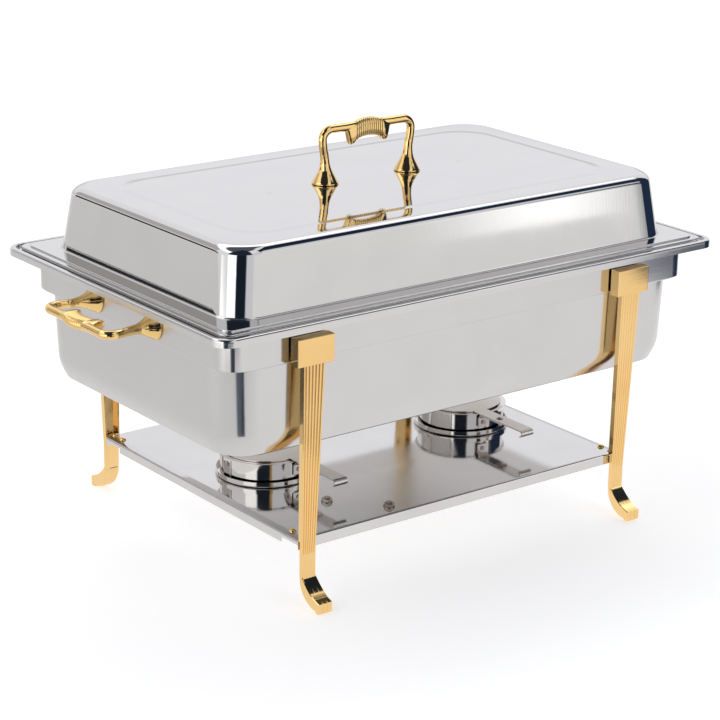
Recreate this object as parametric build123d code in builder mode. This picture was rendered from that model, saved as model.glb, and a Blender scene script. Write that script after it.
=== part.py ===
from build123d import *
from math import atan, degrees
import os

# Full-size chafing dish on gold legs: water pan, food pan, lift-off cover, shelf and two fuel holders.
# Frame: X along the dish, Y across it (the front is -Y), Z up, origin on the table below the middle.
# Every rectangle of the dish is the outline of the food pan's rim grown or shrunk by one margin.

os.makedirs("parts", exist_ok=True)

# Driving dimensions, in millimetres
PAN_LENGTH = 530.0
PAN_WIDTH = 325.0
SHEET = 0.8
GAP = 0.3

# Heights above the table
SHELF_TOP = 59.0
PAN_BOTTOM = 137.5
STEP_LEVEL = 219.5
RIM_TOP = 257.0
LEDGE_TOP = RIM_TOP - 2.4
APRON_BOTTOM = RIM_TOP - 7.0
FOOD_RIM_TOP = LEDGE_TOP + GAP + 1.8
LID_SEAT = FOOD_RIM_TOP + GAP
LID_FLANGE = LID_SEAT + 2.2
LID_SHOULDER = 317.6
LID_PANEL = LID_SHOULDER + 1.0

# Margins beyond the food pan's rim, and corner radii
RIM_MARGIN = 14.0
RIM_CORNER = 17.0
RECESS_MARGIN = 9.0
RECESS_CORNER = 13.0
BAND_MARGIN = -5.4
BAND_CORNER = 18.0
BODY_MARGIN = -8.0
BODY_CORNER = 40.0
BODY_TAPER = 2.3
BODY_BOTTOM_RADIUS = 16.0
FOOD_RIM_CORNER = 12.0
FOOD_NECK_MARGIN = -12.0
FOOD_BODY_MARGIN = -18.5
FOOD_CORNER = 44.0
FOOD_DEPTH = 65.0
LIP_MARGIN = 4.5
LIP_CORNER = 10.0
FLANGE_STEP_MARGIN = -1.5
FLANGE_STEP_CORNER = 8.0
LID_WALL_MARGIN = -17.5
LID_TOP_MARGIN = -25.0
LID_CORNER = 28.0
LID_EDGE_RADIUS = 9.0
PANEL_MARGIN = -56.0
PANEL_CORNER = 36.0

# Handles: one casting, used on the cover and at both ends of the water pan
HANDLE_FEET = 94.0
HANDLE_BEND = 101.0
HANDLE_HEIGHT = 49.0
HANDLE_BAR = 8.6
FOOT_RADIUS = 12.4
GRIP_LENGTH = 36.0
GRIP_DEPTH = 10.0
SIDE_HANDLE_LEVEL = 234.5
SCREW_HOLE = 2.7

# Legs
LEG_X = 180.0
LEG_REAR = 155.4
LEG_REAR_TOP = 162.2
LEG_FACE_TOP = 167.4
LEG_FACE_BOTTOM = 161.2
LEG_TOP = 239.0
LEG_WAIST = 48.0
LEG_TOP_WIDTH = 23.2
LEG_WAIST_WIDTH = 14.4
FOOT_REACH = 185.5
FOOT_TIP_HEIGHT = 9.5
FOOT_TOE_RADIUS = 25.8
FOOT_TOE_FLAT = 4.3
INSTEP_TOP = 25.0
INSTEP_SAG = 2.5
TOE_GROOVE_X = 2.4
LEG_WALL = 1.6
CHANNEL_END = 57.5
CAP_WIDTH = 37.4
CAP_HEIGHT = 24.0
CAP_TOP = 242.0
CAP_FACE = 169.2
CAP_REAR = 158.8
FLUTES = 6
FLUTE_WIDTH = 1.3
FLUTE_DEPTH = 0.7

# Shelf and its fasteners
SHELF_LENGTH = 375.4
SHELF_WIDTH = 310.0
SHELF_APRON = 9.8
NOTCH_LENGTH = 24.0
NOTCH_HEIGHT = 4.8
TAB_THICKNESS = 1.5
TAB_WIDTH = 12.8
TAB_END = 128.0
GUSSET_BOTTOM = 38.0
TAB_SCREW_YS = (137.5, 151.0)
STUD_PLACES = [(-115.0, -99.0), (-77.0, -139.7)]
STUD_RADIUS = 2.4
STUD_NUT_HEIGHT = 3.0
STUD_NUT_WIDTH = 8.6
STUD_NUT_FLANGE = 5.3

# Fuel holders
HOLDER_X = 116.3
HOLDER_Y = -5.8
CUP_RADIUS = 41.6
FLANGE_RADIUS = 43.6
TRAY_RADIUS = 45.6
TRAY_HEIGHT = 5.0
RING_INNER = 35.0
CUP_TOP = SHELF_TOP + 22.4
DAMPER_RADIUS = 38.5
STRAP_OFFSET = 7.2
STRAP_WIDTH = 14.4
STRAP_END = -108.6
PIN_Y = -72.0
PIN_RADIUS = 2.0


def slab(margin, corner, low, high, taper=0.0, mode=Mode.ADD):
    """Extrude the food pan's outline, grown by a margin, from one height to another."""
    with BuildSketch(Plane.XY.offset(low)) as outline:
        RectangleRounded(PAN_LENGTH + 2 * margin, PAN_WIDTH + 2 * margin, corner)
    extrude(outline.sketch, amount=high - low, taper=taper, mode=mode)


def rod(x, y, low, high, radius, mode=Mode.ADD):
    """Extrude a round bar or hole along Z."""
    with BuildSketch(Plane.XY.offset(low)) as section:
        with Locations((x, y)):
            Circle(radius)
    extrude(section.sketch, amount=high - low, mode=mode)


def hexagon(x, y, low, high, across_flats):
    """Extrude a hexagon nut or bolt head along Z."""
    with BuildSketch(Plane.XY.offset(low)) as section:
        with Locations((x, y)):
            RegularPolygon(across_flats / 2, 6, major_radius=False)
    extrude(section.sketch, amount=high - low)


def dome(x, y, base, radius, height):
    """Add a domed screw head that stands on a level."""
    sphere_radius = (radius**2 + height**2) / (2 * height)
    with BuildSketch(Plane.XZ.offset(-y)) as half:
        with BuildLine():
            Line((x, base), (x + radius, base))
            RadiusArc((x + radius, base), (x, base + height), -sphere_radius)
            Line((x, base + height), (x, base))
        make_face()
    revolve(half.sketch, axis=Axis((x, y, 0), (0, 0, 1)), revolution_arc=360)


def band_of_edges(part, low, high):
    """The edges of a part whose middle lies between two heights."""
    return part.edges().filter_by(lambda edge: low <= edge.center().Z <= high)


# ---------------------------------------------------------------- water pan
with BuildPart() as water_space:
    slab(
        BODY_MARGIN - SHEET,
        BODY_CORNER - SHEET,
        STEP_LEVEL + 2 * SHEET,
        PAN_BOTTOM + SHEET,
        taper=BODY_TAPER,
    )
    fillet(water_space.faces().sort_by(Axis.Z)[0].edges(), BODY_BOTTOM_RADIUS - SHEET)
    slab(BAND_MARGIN - SHEET, BAND_CORNER - SHEET, STEP_LEVEL + SHEET, RIM_TOP + 1)

with BuildPart() as water_pan:
    slab(RIM_MARGIN, RIM_CORNER, APRON_BOTTOM, RIM_TOP)
    fillet(water_pan.faces().sort_by(Axis.Z)[-1].edges(), 3.2)
    slab(RIM_MARGIN - SHEET, RIM_CORNER - SHEET, APRON_BOTTOM, LEDGE_TOP - SHEET, mode=Mode.SUBTRACT)
    with BuildSketch(Plane.XY.offset(LEDGE_TOP - SHEET)):
        RectangleRounded(PAN_LENGTH + 2 * RIM_MARGIN - 5, PAN_WIDTH + 2 * RIM_MARGIN - 5, RIM_CORNER - 2.5)
        RectangleRounded(
            PAN_LENGTH + 2 * (RECESS_MARGIN + SHEET),
            PAN_WIDTH + 2 * (RECESS_MARGIN + SHEET),
            RECESS_CORNER + SHEET,
            mode=Mode.SUBTRACT,
        )
    extrude(amount=RIM_TOP - LEDGE_TOP, mode=Mode.SUBTRACT)
    slab(RECESS_MARGIN, RECESS_CORNER, LEDGE_TOP, RIM_TOP + 1, mode=Mode.SUBTRACT)
    slab(BAND_MARGIN, BAND_CORNER, STEP_LEVEL, LEDGE_TOP - SHEET / 2)
    fillet(band_of_edges(water_pan.part, STEP_LEVEL - 0.01, STEP_LEVEL + 0.01), 1.2)
    slab(BODY_MARGIN, BODY_CORNER, STEP_LEVEL + SHEET, PAN_BOTTOM, taper=BODY_TAPER)
    fillet(water_pan.faces().sort_by(Axis.Z)[0].edges(), BODY_BOTTOM_RADIUS)
    add(water_space.part, mode=Mode.SUBTRACT)
    for side in (-1, 1):
        with BuildSketch(Plane.YZ.offset(side * (PAN_LENGTH / 2 + BAND_MARGIN))):
            with Locations((-HANDLE_FEET / 2, SIDE_HANDLE_LEVEL), (HANDLE_FEET / 2, SIDE_HANDLE_LEVEL)):
                Circle(SCREW_HOLE)
        extrude(amount=2 * SHEET, both=True, mode=Mode.SUBTRACT)
water_pan.part.label = "water_pan"
export_step(water_pan.part, "parts/water_pan.step")

# ---------------------------------------------------------------- food pan
FOOD_BOTTOM = FOOD_RIM_TOP - FOOD_DEPTH
FOOD_NECK_LEVEL = FOOD_RIM_TOP - 16.0
FOOD_TAPER = 2.5

with BuildPart() as food_space:
    with BuildSketch(Plane.XY.offset(FOOD_NECK_LEVEL)):
        RectangleRounded(
            PAN_LENGTH + 2 * (FOOD_BODY_MARGIN - SHEET),
            PAN_WIDTH + 2 * (FOOD_BODY_MARGIN - SHEET),
            FOOD_CORNER - SHEET,
        )
    extrude(amount=-(FOOD_NECK_LEVEL - FOOD_BOTTOM - SHEET), taper=FOOD_TAPER)
    fillet(food_space.faces().sort_by(Axis.Z)[0].edges(), 17.0)
    slab(FOOD_NECK_MARGIN - SHEET, FOOD_CORNER + 4 - SHEET, FOOD_NECK_LEVEL, FOOD_RIM_TOP + 1)

with BuildPart() as food_pan:
    slab(0.0, FOOD_RIM_CORNER, LEDGE_TOP + GAP, FOOD_RIM_TOP)
    fillet(food_pan.faces().sort_by(Axis.Z)[-1].edges(), 0.8)
    slab(-SHEET, FOOD_RIM_CORNER - SHEET, LEDGE_TOP + GAP, FOOD_RIM_TOP - SHEET, mode=Mode.SUBTRACT)
    slab(FOOD_NECK_MARGIN, FOOD_CORNER + 4, FOOD_NECK_LEVEL - SHEET, FOOD_RIM_TOP - SHEET / 2)
    with BuildSketch(Plane.XY.offset(FOOD_NECK_LEVEL)):
        RectangleRounded(PAN_LENGTH + 2 * FOOD_BODY_MARGIN, PAN_WIDTH + 2 * FOOD_BODY_MARGIN, FOOD_CORNER)
    extrude(amount=-(FOOD_NECK_LEVEL - FOOD_BOTTOM), taper=FOOD_TAPER)
    fillet(food_pan.faces().sort_by(Axis.Z)[0].edges(), 17.0 + SHEET)
    add(food_space.part, mode=Mode.SUBTRACT)
food_pan.part.label = "food_pan"
export_step(food_pan.part, "parts/food_pan.step")

# ---------------------------------------------------------------- cover
LID_TAPER = degrees(atan((LID_WALL_MARGIN - LID_TOP_MARGIN) / (LID_SHOULDER - LID_FLANGE)))

with BuildPart() as cover_space:
    slab(
        LID_WALL_MARGIN - SHEET,
        LID_CORNER - SHEET,
        LID_FLANGE - SHEET,
        LID_SHOULDER - SHEET,
        taper=LID_TAPER,
    )
    fillet(cover_space.faces().sort_by(Axis.Z)[-1].edges(), LID_EDGE_RADIUS - SHEET)
    slab(PANEL_MARGIN - 2, PANEL_CORNER - 2, LID_SHOULDER - 2, LID_PANEL - SHEET)

with BuildPart() as lid_cover:
    slab(LID_WALL_MARGIN, LID_CORNER, LID_FLANGE, LID_SHOULDER, taper=LID_TAPER)
    fillet(lid_cover.faces().sort_by(Axis.Z)[-1].edges(), LID_EDGE_RADIUS)
    slab(PANEL_MARGIN, PANEL_CORNER, LID_SHOULDER - SHEET / 2, LID_PANEL)
    fillet(lid_cover.faces().sort_by(Axis.Z)[-1].edges(), 0.7)
    slab(LIP_MARGIN, LIP_CORNER, LEDGE_TOP + 2 * GAP, LID_SEAT + SHEET)
    slab(
        LIP_MARGIN - SHEET,
        LIP_CORNER - SHEET,
        LEDGE_TOP + 2 * GAP,
        LID_SEAT,
        mode=Mode.SUBTRACT,
    )
    slab(FLANGE_STEP_MARGIN, FLANGE_STEP_CORNER, LID_SEAT, LID_FLANGE)
    slab(
        FLANGE_STEP_MARGIN - SHEET,
        FLANGE_STEP_CORNER - SHEET,
        LID_SEAT,
        LID_FLANGE - SHEET,
        mode=Mode.SUBTRACT,
    )
    add(cover_space.part, mode=Mode.SUBTRACT)
    for x in (-HANDLE_FEET / 2, HANDLE_FEET / 2):
        rod(x, 0, LID_PANEL - 3, LID_PANEL + 1, SCREW_HOLE, mode=Mode.SUBTRACT)
lid_cover.part.label = "lid_cover"
export_step(lid_cover.part, "parts/lid_cover.step")

# ---------------------------------------------------------------- handles
# Modelled standing on the XY plane with the grip along X, then placed on each mounting face.
THREAD_RADIUS = 2.1
THREAD_DEPTH = 14.0
ARM_START = 16.0
BELL_HEIGHT = 28.0

with BuildPart() as handle:
    for side in (-1, 1):
        foot_x = side * HANDLE_FEET / 2
        bend_x = side * HANDLE_BEND / 2
        with BuildSketch(Plane.XZ) as bell:
            with BuildLine():
                Line((foot_x, 0), (foot_x + FOOT_RADIUS, 0))
                Line((foot_x + FOOT_RADIUS, 0), (foot_x + FOOT_RADIUS, 1.4))
                Spline(
                    (foot_x + FOOT_RADIUS, 1.4),
                    (foot_x + 8.2, 8.0),
                    (foot_x + 5.2, 17.0),
                    (foot_x + HANDLE_BAR / 2, BELL_HEIGHT),
                )
                Line((foot_x + HANDLE_BAR / 2, BELL_HEIGHT), (foot_x, BELL_HEIGHT))
                Line((foot_x, BELL_HEIGHT), (foot_x, 0))
            make_face()
        revolve(axis=Axis((foot_x, 0, 0), (0, 0, 1)), revolution_arc=360)
        with BuildLine() as arm:
            FilletPolyline(
                (foot_x, 0, ARM_START),
                (bend_x, 0, HANDLE_HEIGHT),
                (side * 12, 0, HANDLE_HEIGHT + 2),
                radius=9,
            )
        with BuildSketch(Plane(origin=arm.line @ 0, z_dir=arm.line % 0)):
            Circle(HANDLE_BAR / 2)
        sweep(path=arm.line)
    with BuildSketch(Plane.XZ.offset(-GRIP_DEPTH / 2)) as grip:
        with BuildLine():
            ThreePointArc(
                (-GRIP_LENGTH / 2, HANDLE_HEIGHT - 1),
                (0, HANDLE_HEIGHT + 7),
                (GRIP_LENGTH / 2, HANDLE_HEIGHT - 1),
            )
            Line((GRIP_LENGTH / 2, HANDLE_HEIGHT - 1), (GRIP_LENGTH / 2 + 2, HANDLE_HEIGHT - 17))
            ThreePointArc(
                (GRIP_LENGTH / 2 + 2, HANDLE_HEIGHT - 17),
                (0, HANDLE_HEIGHT - 10),
                (-GRIP_LENGTH / 2 - 2, HANDLE_HEIGHT - 17),
            )
            Line((-GRIP_LENGTH / 2 - 2, HANDLE_HEIGHT - 17), (-GRIP_LENGTH / 2, HANDLE_HEIGHT - 1))
        make_face()
    extrude(amount=GRIP_DEPTH)
    for x in (-HANDLE_FEET / 2, HANDLE_FEET / 2):
        rod(x, 0, 0, THREAD_DEPTH, THREAD_RADIUS, mode=Mode.SUBTRACT)

# A face for each mounting: the plane's Z points out of the sheet metal, its X runs along the grip.
COVER_FACE = Plane(origin=(0, 0, LID_PANEL))
END_X = PAN_LENGTH / 2 + BAND_MARGIN
END_FACES = {
    "left": Plane(origin=(-END_X, 0, SIDE_HANDLE_LEVEL), x_dir=(0, 1, 0), z_dir=(-1, 0, 0)),
    "right": Plane(origin=(END_X, 0, SIDE_HANDLE_LEVEL), x_dir=(0, 1, 0), z_dir=(1, 0, 0)),
}

with BuildPart() as lid_handle:
    add(handle.part.moved(COVER_FACE.location))
lid_handle.part.label = "lid_handle"
export_step(lid_handle.part, "parts/lid_handle.step")

for end, face in END_FACES.items():
    with BuildPart() as side_handle:
        add(handle.part.moved(face.location))
    side_handle.part.label = f"side_handle_{end}"
    export_step(side_handle.part, f"parts/side_handle_{end}.step")

# Screws and washers behind one handle, on the same mounting face.
WASHER = 0.6
HEAD_HEIGHT = 1.8

with BuildPart() as handle_screws:
    for x in (-HANDLE_FEET / 2, HANDLE_FEET / 2):
        rod(x, 0, -SHEET - WASHER, THREAD_DEPTH - 2, THREAD_RADIUS - 0.05)
        rod(x, 0, -SHEET - WASHER - HEAD_HEIGHT, -SHEET - WASHER, 4.2)
    with BuildSketch(Plane.XY.offset(-SHEET - WASHER - HEAD_HEIGHT)):
        with Locations((-HANDLE_FEET / 2, 0), (HANDLE_FEET / 2, 0)):
            Rectangle(6.0, 1.0)
            Rectangle(1.0, 6.0)
    extrude(amount=0.9, mode=Mode.SUBTRACT)

with BuildPart() as handle_washers:
    for x in (-HANDLE_FEET / 2, HANDLE_FEET / 2):
        rod(x, 0, -SHEET - WASHER, -SHEET, 5.5)
        rod(x, 0, -SHEET - WASHER, -SHEET, THREAD_RADIUS + 0.15, mode=Mode.SUBTRACT)

for name, hardware in (("screws", handle_screws), ("washers", handle_washers)):
    with BuildPart() as cover_hardware:
        add(hardware.part.moved(COVER_FACE.location))
    cover_hardware.part.label = f"lid_handle_{name}"
    export_step(cover_hardware.part, f"parts/lid_handle_{name}.step")
    with BuildPart() as end_hardware:
        for face in END_FACES.values():
            add(hardware.part.moved(face.location))
    end_hardware.part.label = f"side_handle_{name}"
    export_step(end_hardware.part, f"parts/side_handle_{name}.step")

# ---------------------------------------------------------------- legs
# One leg is modelled at the front, centred on X = 0, then moved and mirrored to the four corners.
FLUTE_TOP = CAP_TOP - CAP_HEIGHT - 1


def leg_outline(inset):
    """The front view of a leg, as a face on the XZ plane: it narrows from head to waist."""
    with BuildSketch(Plane.XZ.offset(FOOT_REACH + 5)) as outline:
        with BuildLine():
            Polyline(
                (-LEG_WAIST_WIDTH / 2 + inset, -5),
                (LEG_WAIST_WIDTH / 2 - inset, -5),
                (LEG_WAIST_WIDTH / 2 - inset, LEG_WAIST),
                (LEG_TOP_WIDTH / 2 - inset, LEG_TOP + 1),
                (-LEG_TOP_WIDTH / 2 + inset, LEG_TOP + 1),
                (-LEG_WAIST_WIDTH / 2 + inset, LEG_WAIST),
                close=True,
            )
        make_face()
    return outline.sketch


with BuildPart() as channel_space:
    with BuildSketch(Plane.YZ):
        with BuildLine():
            Polyline(
                (-LEG_FACE_TOP + LEG_WALL, LEG_TOP + 1),
                (-LEG_FACE_BOTTOM + LEG_WALL, CHANNEL_END),
                (-LEG_REAR + 3, CHANNEL_END),
                (-LEG_REAR_TOP + 8, LEG_TOP + 1),
                close=True,
            )
        make_face()
    extrude(amount=LEG_TOP_WIDTH, both=True)
    extrude(leg_outline(LEG_WALL), amount=-40, mode=Mode.INTERSECT)

with BuildPart() as leg:
    toe_centre = -FOOT_REACH + FOOT_TOE_FLAT
    instep_middle = (-(LEG_FACE_BOTTOM + FOOT_REACH) / 2, (INSTEP_TOP + FOOT_TIP_HEIGHT) / 2 - INSTEP_SAG)
    with BuildSketch(Plane.YZ):
        with BuildLine():
            Line((-LEG_FACE_TOP, LEG_TOP), (-LEG_FACE_BOTTOM, LEG_WAIST))
            Line((-LEG_FACE_BOTTOM, LEG_WAIST), (-LEG_FACE_BOTTOM, INSTEP_TOP))
            ThreePointArc((-LEG_FACE_BOTTOM, INSTEP_TOP), instep_middle, (-FOOT_REACH, FOOT_TIP_HEIGHT))
            Line((-FOOT_REACH, FOOT_TIP_HEIGHT), (-FOOT_REACH, 0))
            Line((-FOOT_REACH, 0), (toe_centre, 0))
            RadiusArc((toe_centre, 0), (-LEG_REAR, FOOT_TOE_RADIUS), -FOOT_TOE_RADIUS)
            Line((-LEG_REAR, FOOT_TOE_RADIUS), (-LEG_REAR, LEG_WAIST))
            Line((-LEG_REAR, LEG_WAIST), (-LEG_REAR_TOP, LEG_TOP))
            Line((-LEG_REAR_TOP, LEG_TOP), (-LEG_FACE_TOP, LEG_TOP))
        make_face()
    extrude(amount=LEG_TOP_WIDTH, both=True)
    extrude(leg_outline(0), amount=-40, mode=Mode.INTERSECT)
    add(channel_space.part, mode=Mode.SUBTRACT)
    # Flutes down the face, drawn on the sloping face from just below the cap.
    face_slope = Vector(0, LEG_FACE_TOP - LEG_FACE_BOTTOM, LEG_WAIST - LEG_TOP).normalized()
    face_start = Vector(0, -LEG_FACE_TOP, LEG_TOP) + face_slope * (LEG_TOP - FLUTE_TOP)
    flute_plane = Plane(origin=face_start, x_dir=(1, 0, 0), z_dir=face_slope.cross(Vector(-1, 0, 0)))
    flute_length = FLUTE_TOP - LEG_WAIST
    with BuildSketch(flute_plane):
        for number in range(FLUTES):
            share = (number - (FLUTES - 1) / 2) / FLUTES
            top_x = share * (LEG_TOP_WIDTH - 2.2)
            bottom_x = share * (LEG_WAIST_WIDTH - 1.6)
            with BuildLine():
                Polyline(
                    (top_x - FLUTE_WIDTH / 2, 0),
                    (top_x + FLUTE_WIDTH / 2, 0),
                    (bottom_x + FLUTE_WIDTH / 3, -flute_length),
                    (bottom_x - FLUTE_WIDTH / 3, -flute_length),
                    close=True,
                )
            make_face()
    extrude(amount=-FLUTE_DEPTH, mode=Mode.SUBTRACT)
    # Two grooves over the toe.
    for x in (-TOE_GROOVE_X, TOE_GROOVE_X):
        with BuildSketch(Plane.XY.offset(-1)):
            with Locations((x, -FOOT_REACH)):
                Rectangle(1.0, 1.6)
        extrude(amount=FOOT_TIP_HEIGHT + 3, mode=Mode.SUBTRACT)
    # Ledge behind the head, which carries the step of the water pan.
    with BuildSketch(Plane.YZ):
        with BuildLine():
            Polyline(
                (-LEG_FACE_TOP + 1.5, STEP_LEVEL - GAP),
                (-PAN_WIDTH / 2 - BODY_MARGIN - 1.2, STEP_LEVEL - GAP),
                (-PAN_WIDTH / 2 - BODY_MARGIN - 1.2, STEP_LEVEL - GAP - 2.4),
                (-LEG_REAR_TOP + 0.5, STEP_LEVEL - 13),
                (-LEG_FACE_TOP + 2.2, STEP_LEVEL - 13),
                close=True,
            )
        make_face()
    extrude(amount=8.0, both=True)
    # Tab and gussets under the corner of the shelf.
    tab_top = SHELF_TOP - SHEET - 0.1
    with BuildSketch(Plane.XY.offset(tab_top - TAB_THICKNESS)):
        with Locations((0, (-LEG_REAR - TAB_END) / 2)):
            Rectangle(TAB_WIDTH, LEG_REAR - TAB_END)
    extrude(amount=TAB_THICKNESS)
    for side in (-1, 1):
        gusset_x = side * (TAB_WIDTH / 2) - (LEG_WALL if side > 0 else 0)
        with BuildSketch(Plane.YZ.offset(gusset_x)):
            with BuildLine():
                Polyline(
                    (-LEG_REAR - 1.5, tab_top - 0.5),
                    (-TAB_END - 2, tab_top - 0.5),
                    (-TAB_END - 2, tab_top - 3.0),
                    (-LEG_REAR, GUSSET_BOTTOM),
                    (-LEG_REAR - 1.5, GUSSET_BOTTOM),
                    close=True,
                )
            make_face()
        extrude(amount=LEG_WALL)
    for y in TAB_SCREW_YS:
        rod(0, -y, tab_top - 4, tab_top + 1, 1.7, mode=Mode.SUBTRACT)

# The cap is a folded box over the head of the leg, open below and behind.
CAP_WALL = 1.4
with BuildPart() as cap:
    with BuildSketch(Plane.XY.offset(CAP_TOP - CAP_HEIGHT)):
        with Locations((0, -(CAP_FACE + CAP_REAR) / 2)):
            Rectangle(CAP_WIDTH, CAP_FACE - CAP_REAR)
    extrude(amount=CAP_HEIGHT)
    front_edges = cap.faces().sort_by(Axis.Y)[0].edges()
    fillet(front_edges, 0.7)
    with BuildSketch(Plane.XY.offset(CAP_TOP - CAP_HEIGHT + CAP_WALL)):
        with Locations((0, -(CAP_FACE + CAP_REAR) / 2 + CAP_WALL)):
            Rectangle(CAP_WIDTH - 2 * CAP_WALL, CAP_FACE - CAP_REAR)
    extrude(amount=CAP_HEIGHT - 2 * CAP_WALL, mode=Mode.SUBTRACT)
    with BuildSketch(Plane.XY.offset(CAP_TOP - CAP_HEIGHT - 1)):
        with Locations((0, -LEG_FACE_TOP / 2 - 0.2)):
            Rectangle(LEG_TOP_WIDTH + 0.2, LEG_FACE_TOP + 0.2)
    extrude(amount=CAP_WALL + 2, mode=Mode.SUBTRACT)

CORNERS = {
    "front_left": (-1, 1),
    "front_right": (1, 1),
    "back_left": (-1, -1),
    "back_right": (1, -1),
}
for kind, master in (("leg", leg), ("leg_cap", cap)):
    for corner, (x_side, y_side) in CORNERS.items():
        placed = master.part if y_side > 0 else master.part.mirror(Plane.XZ)
        with BuildPart() as corner_piece:
            add(placed.moved(Location((x_side * LEG_X, 0, 0))))
        corner_piece.part.label = f"{kind}_{corner}"
        export_step(corner_piece.part, f"parts/{kind}_{corner}.step")

# ---------------------------------------------------------------- shelf
TAB_SCREWS = [(x * LEG_X, y * tab_y) for x in (-1, 1) for y in (-1, 1) for tab_y in TAB_SCREW_YS]
UNDER_TAB = SHELF_TOP - SHEET - 0.1 - TAB_THICKNESS
UNDER_SHELF = SHELF_TOP - SHEET

with BuildPart() as shelf:
    with BuildSketch(Plane.XY.offset(SHELF_TOP - SHELF_APRON)):
        Rectangle(SHELF_LENGTH, SHELF_WIDTH)
    extrude(amount=SHELF_APRON)
    fillet(shelf.faces().sort_by(Axis.Z)[-1].edges(), 1.2)
    with BuildSketch(Plane.XY.offset(SHELF_TOP - SHELF_APRON)):
        Rectangle(SHELF_LENGTH - 2 * SHEET, SHELF_WIDTH - 2 * SHEET)
    extrude(amount=SHELF_APRON - SHEET, mode=Mode.SUBTRACT)
    notch_x = SHELF_LENGTH / 2
    notch_y = SHELF_WIDTH / 2 - NOTCH_LENGTH / 2
    with BuildSketch(Plane.XY.offset(SHELF_TOP - SHELF_APRON)):
        with GridLocations(2 * notch_x, 2 * notch_y, 2, 2):
            Rectangle(4.0, NOTCH_LENGTH)
    extrude(amount=NOTCH_HEIGHT, mode=Mode.SUBTRACT)
    with BuildSketch(Plane.XY.offset(SHELF_TOP - SHELF_APRON)):
        with GridLocations(2 * LEG_X, SHELF_WIDTH, 2, 2):
            Rectangle(TAB_WIDTH + 1.0, 4.0)
    extrude(amount=SHELF_APRON - SHEET, mode=Mode.SUBTRACT)
    for x, y in TAB_SCREWS:
        rod(x, y, UNDER_SHELF - 1, SHELF_TOP + 1, 1.7, mode=Mode.SUBTRACT)
    for x, y in STUD_PLACES:
        rod(x, y, UNDER_SHELF - 1, SHELF_TOP + 1, 2.6, mode=Mode.SUBTRACT)
shelf.part.label = "shelf"
export_step(shelf.part, "parts/shelf.step")

with BuildPart() as shelf_screws:
    for x, y in TAB_SCREWS:
        rod(x, y, UNDER_TAB - 4.5, SHELF_TOP + 0.5, 1.5)
        dome(x, y, SHELF_TOP, 3.4, 2.6)
shelf_screws.part.label = "shelf_screws"
export_step(shelf_screws.part, "parts/shelf_screws.step")

with BuildPart() as shelf_nuts:
    for x, y in TAB_SCREWS:
        hexagon(x, y, UNDER_TAB - 2.4, UNDER_TAB, 5.5)
        rod(x, y, UNDER_TAB - 3, UNDER_TAB + 1, 1.52, mode=Mode.SUBTRACT)
shelf_nuts.part.label = "shelf_nuts"
export_step(shelf_nuts.part, "parts/shelf_nuts.step")

with BuildPart() as shelf_studs:
    for x, y in STUD_PLACES:
        rod(x, y, UNDER_SHELF - 0.5, SHELF_TOP + STUD_NUT_HEIGHT + 1.6, STUD_RADIUS)
        hexagon(x, y, UNDER_SHELF - 3.2, UNDER_SHELF, 8.0)
shelf_studs.part.label = "shelf_studs"
export_step(shelf_studs.part, "parts/shelf_studs.step")

with BuildPart() as stud_nuts:
    for x, y in STUD_PLACES:
        hexagon(x, y, SHELF_TOP, SHELF_TOP + STUD_NUT_HEIGHT, STUD_NUT_WIDTH)
        rod(x, y, SHELF_TOP, SHELF_TOP + 0.8, STUD_NUT_FLANGE)
        rod(x, y, SHELF_TOP - 1, SHELF_TOP + 5, STUD_RADIUS + 0.02, mode=Mode.SUBTRACT)
stud_nuts.part.label = "stud_nuts"
export_step(stud_nuts.part, "parts/stud_nuts.step")

# ---------------------------------------------------------------- fuel holders
BASE_TOP = SHELF_TOP + GAP + 1.0
RING_BOTTOM = CUP_TOP - 1.0
DAMPER_BOTTOM = CUP_TOP + GAP
STRAP_SHEET = 1.2
SEAM_RIVET_LEVEL = RING_BOTTOM - 5.0
CURL_RADIUS = 3.4


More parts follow.
